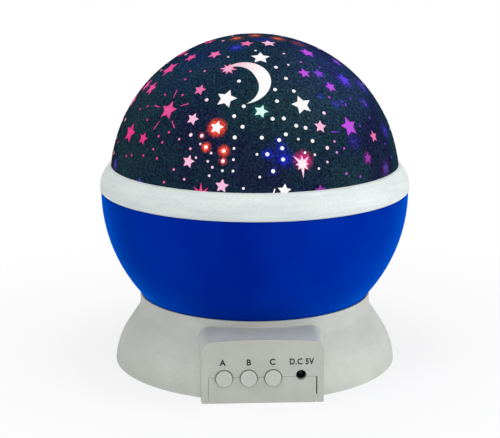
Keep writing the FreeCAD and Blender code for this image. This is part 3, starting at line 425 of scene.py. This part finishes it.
class Windows:
    """Clear windows gathered in one mesh, tinted at the edge and paler at the middle."""

    def __init__(self):
        self.mesh = bmesh.new()
        self.tint = self.mesh.loops.layers.float_color.new("tint")

    def face(self, corners):
        built = self.mesh.faces.new([vertex for vertex, colour in corners])
        for loop, (vertex, colour) in zip(built.loops, corners):
            loop[self.tint] = colour
        built.smooth = True

    def patch(self, azimuth, elevation, outline, colour, bright=0.03):
        """A window from its outline in millimetres, with a paler middle."""
        basis = on_dome(azimuth, elevation)
        core = pale(colour, bright)
        edge = [(self.mesh.verts.new(dome_point(basis, u, v)), colour) for u, v in outline]
        ring = [(self.mesh.verts.new(dome_point(basis, u * 0.5, v * 0.5)), core)
                for u, v in outline]
        middle = (self.mesh.verts.new(dome_point(basis, 0, 0)), core)
        for index in range(len(outline)):
            after = (index + 1) % len(outline)
            self.face([edge[index], edge[after], ring[after], ring[index]])
            self.face([ring[index], ring[after], middle])

    def star(self, azimuth, elevation, size, turn, colour):
        outline = []
        for step in range(10):
            reach = size * (1 if step % 2 == 0 else STAR_WAIST)
            angle = math.pi / 2 - math.radians(turn) + math.pi * step / 5
            outline.append((reach * math.cos(angle), reach * math.sin(angle)))
        self.patch(azimuth, elevation, outline, colour)

    def burst(self, azimuth, elevation, reaches, colour, bright):
        outline = []
        for step, reach in enumerate(reaches):
            angle = math.pi / 2 - math.tau * step / len(reaches)
            notch = angle - math.pi / len(reaches)
            outline.append((reach * math.cos(angle), reach * math.sin(angle)))
            outline.append((BURST_NOTCH * math.cos(notch), BURST_NOTCH * math.sin(notch)))
        self.patch(azimuth, elevation, outline[::-1], colour, bright)

    def dot(self, azimuth, elevation, size, colour, bright=0.6):
        angles = [math.tau * step / DOT_SIDES for step in range(DOT_SIDES)]
        outline = [(size * math.cos(angle), size * math.sin(angle)) for angle in angles]
        self.patch(azimuth, elevation, outline, colour, bright)

    def ray(self, azimuth, elevation, away, angle, colour):
        """A thin dash that points away from a star."""
        turn = math.radians(angle)
        along = Vector((math.cos(turn), math.sin(turn)))
        across = Vector((-along.y, along.x)) * RAY_WIDTH
        middle = along * away
        half = along * RAY_HALF
        basis = on_dome(azimuth, elevation)
        corners = [middle - half - across * 0.5, middle + half - across, middle + half + across,
                   middle - half + across * 0.5]
        self.face([(self.mesh.verts.new(dome_point(basis, c.x, c.y)), colour) for c in corners])

    def moon(self):
        """The crescent, pink at its head and white along its back."""
        basis = on_dome(*MOON_PLACE)
        strips = []
        for step in range(MOON_STEPS + 1):
            share = step / MOON_STEPS
            angle = math.radians(MOON_HEAD + (MOON_TIP - MOON_HEAD) * share)
            bulge = MOON_WIDTH * math.sin(math.pi * share) ** 1.1
            width = MOON_HEAD_WIDTH * (1 - share) + bulge
            colour = pale(PINK, 0.45 + 0.55 * min(1, share * 2.2))
            row = []
            for part in (0, 0.5, 1):
                reach = MOON_RADIUS - width * part
                spot = dome_point(basis, MOON_OFFSET + reach * math.cos(angle),
                                  reach * math.sin(angle))
                row.append((self.mesh.verts.new(spot), colour))
            strips.append(row)
        for first, last in zip(strips, strips[1:]):
            for part in range(2):
                self.face([last[part], first[part], first[part + 1], last[part + 1]])

    def finish(self, name, material):
        self.mesh.normal_update()
        return add(name, meshed(name, self.mesh), material)


def zone_colour(azimuth):
    """The light's colour at an azimuth, blended between the zones."""
    for (low, first), (high, last) in zip(ZONES, ZONES[1:]):
        if low <= azimuth <= high:
            share = (azimuth - low) / (high - low)
            return tuple(a + (b - a) * share for a, b in zip(first, last))
    return WHITE


def apart(place, others, gap):
    """Whether a place is further than a gap in degrees from all the others."""
    here = on_dome(*place)[0]
    return all(here.angle(on_dome(*other)[0]) > math.radians(gap) for other in others)


def window_glow():
    """Lit from behind, in the colour that each corner of the windows' mesh has."""
    graph = Graph("window_glow")
    tint = graph.tree.nodes.new("ShaderNodeVertexColor")
    tint.layer_name = "tint"
    lit = graph.speckled(tint.outputs["Color"], 900.0, (0.93, 0.93, 0.93))
    graph.link(lit, "Emission Color")
    graph.set(Base_Color=(0.02, 0.02, 0.02, 1), Roughness=0.4, Specular_IOR_Level=0.0,
              Emission_Strength=1.0)
    return graph.material


def dome_windows():
    """The moon, stars, rays and dots that the photograph shows, and a seeded scatter behind."""
    windows = Windows()
    windows.moon()
    taken = []
    for azimuth, elevation, size, turn, colour in STARS:
        windows.star(azimuth, elevation, size, turn, colour)
        taken.append((azimuth, elevation))
    for azimuth, elevation, reaches, colour, bright in BURSTS:
        windows.burst(azimuth, elevation, reaches, colour, bright)
        taken.append((azimuth, elevation))
    for azimuth, elevation, away, angles, colour in RAYS:
        for angle in angles:
            windows.ray(azimuth, elevation, away, angle, colour)
    for azimuth, elevation in BRIGHT_DOTS:
        windows.dot(azimuth, elevation, BRIGHT_DOT, zone_colour(azimuth), 0.8)
        taken.append((azimuth, elevation))
    for azimuth, elevation in SMALL_DOTS:
        windows.dot(azimuth, elevation, SMALL_DOT, zone_colour(azimuth), 0.02)
        taken.append((azimuth, elevation))
    for azimuth, elevation, colour in LIT_DOTS:
        windows.dot(azimuth, elevation, BRIGHT_DOT, colour, 0.9)
        taken.append((azimuth, elevation))
    scatter = random.Random(SCATTER_SEED)
    for kind, gap, tries, sizes in SCATTER:
        for _ in range(tries):
            azimuth = scatter.uniform(-180, 180)
            elevation = math.degrees(math.asin(scatter.uniform(*SCATTER_HEIGHTS)))
            aside = SEEN_ASIDE_HIGH if elevation > SEEN_HIGH else SEEN_ASIDE
            hidden = abs(azimuth) > aside
            if not hidden or not apart((azimuth, elevation), taken, gap):
                continue
            colour = zone_colour(azimuth)
            if kind == "star":
                windows.star(azimuth, elevation, scatter.uniform(*sizes),
                             scatter.uniform(0, 72), colour)
            else:
                windows.dot(azimuth, elevation, scatter.uniform(*sizes), colour)
            taken.append((azimuth, elevation))
    item = windows.finish("dome_windows", window_glow())
    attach(item, "shade")


def dome_skin():
    """The dome's grained dark skin, with the soft glow round its brightest windows."""
    graph = Graph("dome_skin")
    drift = graph.ramp(graph.noise(28.0, 2.0), (0.35, srgb(24, 30, 58)), (0.5, srgb(24, 44, 58)),
                       (0.65, srgb(30, 52, 62)))
    fine = graph.noise(1150.0, 4.0, 0.7)
    grain = graph.ramp(fine, (0.36, (0.35, 0.35, 0.4)), (0.52, (1.0, 1.0, 1.0)),
                       (0.66, (2.1, 2.1, 1.9)))
    graph.link(graph.mix(1.0, drift, grain, "MULTIPLY"), "Base Color")
    graph.set(Roughness=0.85, Specular_IOR_Level=0.0, Emission_Strength=1.0)
    graph.bump(fine, 0.25, 0.08 * MM)
    total, kind = (0, 0, 0, 1), "MIX"
    for azimuth, elevation, reach, colour, strength in HALOS:
        gap = graph.tree.nodes.new("ShaderNodeVectorMath")
        gap.operation = "DISTANCE"
        gap.inputs[1].default_value = dome_point(on_dome(azimuth, elevation), 0, 0)
        graph.link(graph.place, gap.inputs[0])
        away = graph.maths("DIVIDE", gap.outputs["Value"], reach * MM)
        near = graph.maths("SUBTRACT", 1.0, away, clamp=True)
        soft = graph.maths("MULTIPLY", graph.maths("POWER", near, HALO_FALL), strength)
        total, kind = graph.mix(soft, total, colour, kind), "ADD"
    graph.link(graph.mix(1.0, total, grain, "MULTIPLY"), "Emission Color")
    return graph.material


# Labels: words, place across and up in millimetres, and how far they are squeezed
LABELS = [("A", -15.9, 16.9, 1.0), ("B", -5.6, 16.9, 1.0), ("C", 3.8, 17.0, 1.0),
          ("D.C 5V", 15.3, 17.0, 0.86)]
LABEL_SIZE = 3.4
LABEL_DEPTH = 0.03
LABEL_WEIGHT = 0.11
LABEL_SPACING = 1.1


def panel_labels(ink):
    """Printed letters over the buttons and the inlet."""
    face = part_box("base_shell")[0][1]
    for index, (words, across, level, squeeze) in enumerate(LABELS):
        data = bpy.data.curves.new(f"label_{index}", "FONT")
        data.body = words
        data.align_x = "CENTER"
        data.align_y = "CENTER"
        data.size = LABEL_SIZE * MM
        data.extrude = LABEL_DEPTH * MM
        data.offset = LABEL_WEIGHT * MM
        data.space_character = LABEL_SPACING
        text = bpy.data.objects.new(f"label_text_{index}", data)
        bpy.context.collection.objects.link(text)
        text.location = (across * MM, face - LABEL_DEPTH * MM, level * MM)
        text.rotation_euler = Euler((math.pi / 2, 0, 0))
        text.scale.x = squeeze
        bpy.context.view_layer.update()
        mesh = bpy.data.meshes.new_from_object(
            text.evaluated_get(bpy.context.evaluated_depsgraph_get()))
        mesh.transform(text.matrix_world)
        bpy.data.objects.remove(text)
        item = add(f"panel_label_{index}", mesh, ink)
        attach(item, "base")


def block(mesh, low, high, bevel=0.0):
    """Adds a block between two corners to a bmesh, its edges softened."""
    low, high = Vector(low), Vector(high)
    made = bmesh.ops.create_cube(mesh, size=1.0)
    for vertex in made["verts"]:
        vertex.co = Vector(
            (low[axis] + high[axis]) / 2 + vertex.co[axis] * (high[axis] - low[axis])
            for axis in range(3))
    if bevel:
        edges = list({edge for vertex in made["verts"] for edge in vertex.link_edges})
        bmesh.ops.bevel(mesh, geom=edges, offset=bevel, segments=2, affect="EDGES")


def piece(name, built, material, body):
    """A new piece from a bmesh, on its body."""
    item = add(name, meshed(name, built), material)
    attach(item, body)


# Parts on the boards, in millimetres: a resistor's half sizes, how far from the middle resistors
# stand, the half sizes of a resistor's ends and their distance from its middle
RESISTOR = (0.8, 0.5)
RESISTOR_RINGS = (7.0, 10.5)
RESISTOR_END = (0.25, 0.55)
RESISTOR_END_AT = 1.05
SMALL_BEVEL = 0.05
# The chip's left, right, underside and top, and its pins
CHIP = (0, 8, 13, 18)
CHIP_THICK = 1.6
CHIP_BEVEL = 0.15
PIN_LEVELS = (12.2, 18.0)
PIN_HALF = 0.25
PIN_THICK = 0.7
PIN_TALL = 0.8


def board_parts(black, tin):
    """Small parts on both boards: resistors beside the lamps and a chip behind the panel."""
    chips = bmesh.new()
    ends = bmesh.new()
    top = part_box("lamp_board")[1][2]
    long, wide = (half * MM for half in RESISTOR)
    end_long, end_wide = (half * MM for half in RESISTOR_END)
    for turn in range(4):
        angle = math.radians(45 + 90 * turn)
        for away in RESISTOR_RINGS:
            x, y = away * MM * math.cos(angle), away * MM * math.sin(angle)
            block(chips, (x - long, y - wide, top), (x + long, y + wide, top + wide),
                  SMALL_BEVEL * MM)
            for side in (-1, 1):
                end = x + side * RESISTOR_END_AT * MM
                block(ends, (end - end_long, y - end_wide, top),
                      (end + end_long, y + end_wide, top + end_wide), SMALL_BEVEL * MM)
    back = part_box("main_board")[1][1]
    left, right, under, over = (edge * MM for edge in CHIP)
    block(chips, (left, back, under), (right, back + CHIP_THICK * MM, over), CHIP_BEVEL * MM)
    for pin in range(4):
        x = (1 + 2 * pin) * MM
        for level in PIN_LEVELS:
            block(ends, (x - PIN_HALF * MM, back, level * MM),
                  (x + PIN_HALF * MM, back + PIN_THICK * MM, (level + PIN_TALL) * MM))
    piece("board_chips", chips, black, "base")
    piece("board_solder", ends, tin, "base")


# The floor's own light as the camera sees it: its share beside the object and its share away
# from it, between two distances in metres
FLOOR_NEAR = (0.07, 0.72)
FLOOR_FAR = (0.22, 1.0)
# The surround's light on the object; the camera and reflections see it at 1
SURROUND = 0.45
# Lamps: name, place in metres, size and watts
LAMPS = [
    ("key", (1.1, -0.3, 0.25), 0.8, 7.2),
    ("graze", (-0.8, -0.6, 0.7), 0.4, 2.4),
    ("top", (0.0, -0.2, 1.2), 1.0, 6.0),
    ("front", (0.0, -1.1, 0.06), 0.4, 1.6),
]
LAMP_AIM = Vector((0, 0, 0.07))


def make_floor():
    """A white floor that keeps a soft shadow."""
    bpy.ops.mesh.primitive_plane_add(size=6)
    floor = bpy.context.object
    floor.name = "floor"
    graph = Graph("floor_white")
    graph.set(Base_Color=(0.9, 0.9, 0.9, 1), Roughness=0.6, Specular_IOR_Level=0.2)
    nodes, links = graph.tree.nodes, graph.tree.links
    path = nodes.new("ShaderNodeLightPath")
    glow = nodes.new("ShaderNodeEmission")
    blend = nodes.new("ShaderNodeMixShader")
    away = nodes.new("ShaderNodeVectorMath")
    away.operation = "LENGTH"
    links.new(graph.place, away.inputs[0])
    share = nodes.new("ShaderNodeMapRange")
    for end, (distance, value) in (("Min", FLOOR_NEAR), ("Max", FLOOR_FAR)):
        share.inputs[f"From {end}"].default_value = distance
        share.inputs[f"To {end}"].default_value = value
    links.new(away.outputs["Value"], share.inputs["Value"])
    seen = graph.maths("MULTIPLY", path.outputs["Is Camera Ray"], share.outputs["Result"])
    links.new(seen, blend.inputs["Fac"])
    links.new(graph.shader.outputs["BSDF"], blend.inputs[1])
    links.new(glow.outputs["Emission"], blend.inputs[2])
    links.new(blend.outputs["Shader"], nodes["Material Output"].inputs["Surface"])
    floor.data.materials.append(graph.material)


def make_surround():
    """A surround that the camera and reflections see as white, and that lights the object less."""
    world = bpy.data.worlds.new("studio")
    bpy.context.scene.world = world
    world.use_nodes = True
    nodes, links = world.node_tree.nodes, world.node_tree.links
    background = nodes["Background"]
    path = nodes.new("ShaderNodeLightPath")
    seen = nodes.new("ShaderNodeMath")
    seen.operation = "MAXIMUM"
    links.new(path.outputs["Is Camera Ray"], seen.inputs[0])
    links.new(path.outputs["Is Glossy Ray"], seen.inputs[1])
    strength = nodes.new("ShaderNodeMapRange")
    strength.inputs["To Min"].default_value = SURROUND
    strength.inputs["To Max"].default_value = 1.0
    links.new(seen.outputs["Value"], strength.inputs["Value"])
    links.new(strength.outputs["Result"], background.inputs["Strength"])
    background.inputs["Color"].default_value = (1, 1, 1, 1)


def make_lamps():
    """Plain soft studio lamps, all aimed at the middle of the object."""
    for name, spot, size, power in LAMPS:
        data = bpy.data.lights.new(name, "AREA")
        data.size = size
        data.energy = power
        lamp = bpy.data.objects.new(name, data)
        lamp.location = spot
        aim = LAMP_AIM - Vector(spot)
        lamp.rotation_euler = aim.to_track_quat("-Z", "Y").to_euler()
        bpy.context.collection.objects.link(lamp)


def dress():
    """One finish for each material slot of the record, and a special one where a node needs it."""
    finishes = {
        # The shell's finish paints shade on the control panel's face
        "white": plastic("white_shell", srgb(191, 193, 185), srgb(200, 202, 195), 0.55,
                         cloud=90.0, panel_painted_shade=True),
        "collar": plastic("white_collar", srgb(206, 216, 215), srgb(220, 228, 225), 0.5,
                          cloud=70.0, streak=(1, 1, 9)),
        "deck": plastic("deck_grey", srgb(196, 196, 190), srgb(212, 212, 206), 0.6),
        "steel": metal("plated_steel", srgb(190, 192, 196)),
        "rubber": plastic("foot_rubber", srgb(34, 34, 36), srgb(48, 48, 50), 0.85, relief=0.4),
        "blue": ball_blue(),
        "dome": dome_skin(),
        "acetal": plastic("gear_acetal", srgb(226, 226, 216), srgb(240, 240, 232), 0.4),
        "brass": metal("pinion_brass", srgb(200, 160, 90)),
        "motor": metal("motor_steel", srgb(176, 180, 184), 0.35, (1, 1, 30)),
        "board": board_green(),
        "lens_blue": lens("lamp_blue_resin", srgb(40, 70, 250), 1.2),
        "lens_green": lens("lamp_green_resin", srgb(60, 230, 110), 1.0),
        "lens_red": lens("lamp_red_resin", srgb(255, 70, 30), 1.2),
        "lens_clear": lens("lamp_white_resin", srgb(255, 244, 224), 1.4),
        "button": plastic("button_grey", srgb(184, 188, 181), srgb(193, 197, 190), 0.45),
        "black": plastic("black_moulding", srgb(22, 22, 24), srgb(34, 34, 36), 0.5),
        "nickel": metal("nickel", srgb(210, 206, 196), 0.25, (60, 1, 1)),
        # Painted shade: the inlet's pin is bare nickel, darkened to stand for the shade inside its
        # hole
        "inlet_pin": metal("pin_painted_shade", srgb(46, 58, 66), 0.5, (60, 1, 1)),
        "cell": cell_sleeve(),
        "wire": plastic("wire_red", srgb(150, 20, 16), srgb(186, 34, 26), 0.5),
    }
    for entry in frame["record"]["subparts"]:
        item = NODES[entry["node"]]
        item.data.materials.clear()
        item.data.materials.append(finishes.get(entry["node"], finishes[entry["material_slot"]]))
    return finishes


make_camera()
finishes = dress()
dome_windows()
panel_labels(plastic("label_ink", srgb(18, 20, 24), srgb(30, 32, 38), 0.6))
board_parts(finishes["black"], finishes["nickel"])
make_floor()
make_surround()
make_lamps()

scene = bpy.context.scene
scene.view_settings.view_transform = "Standard"
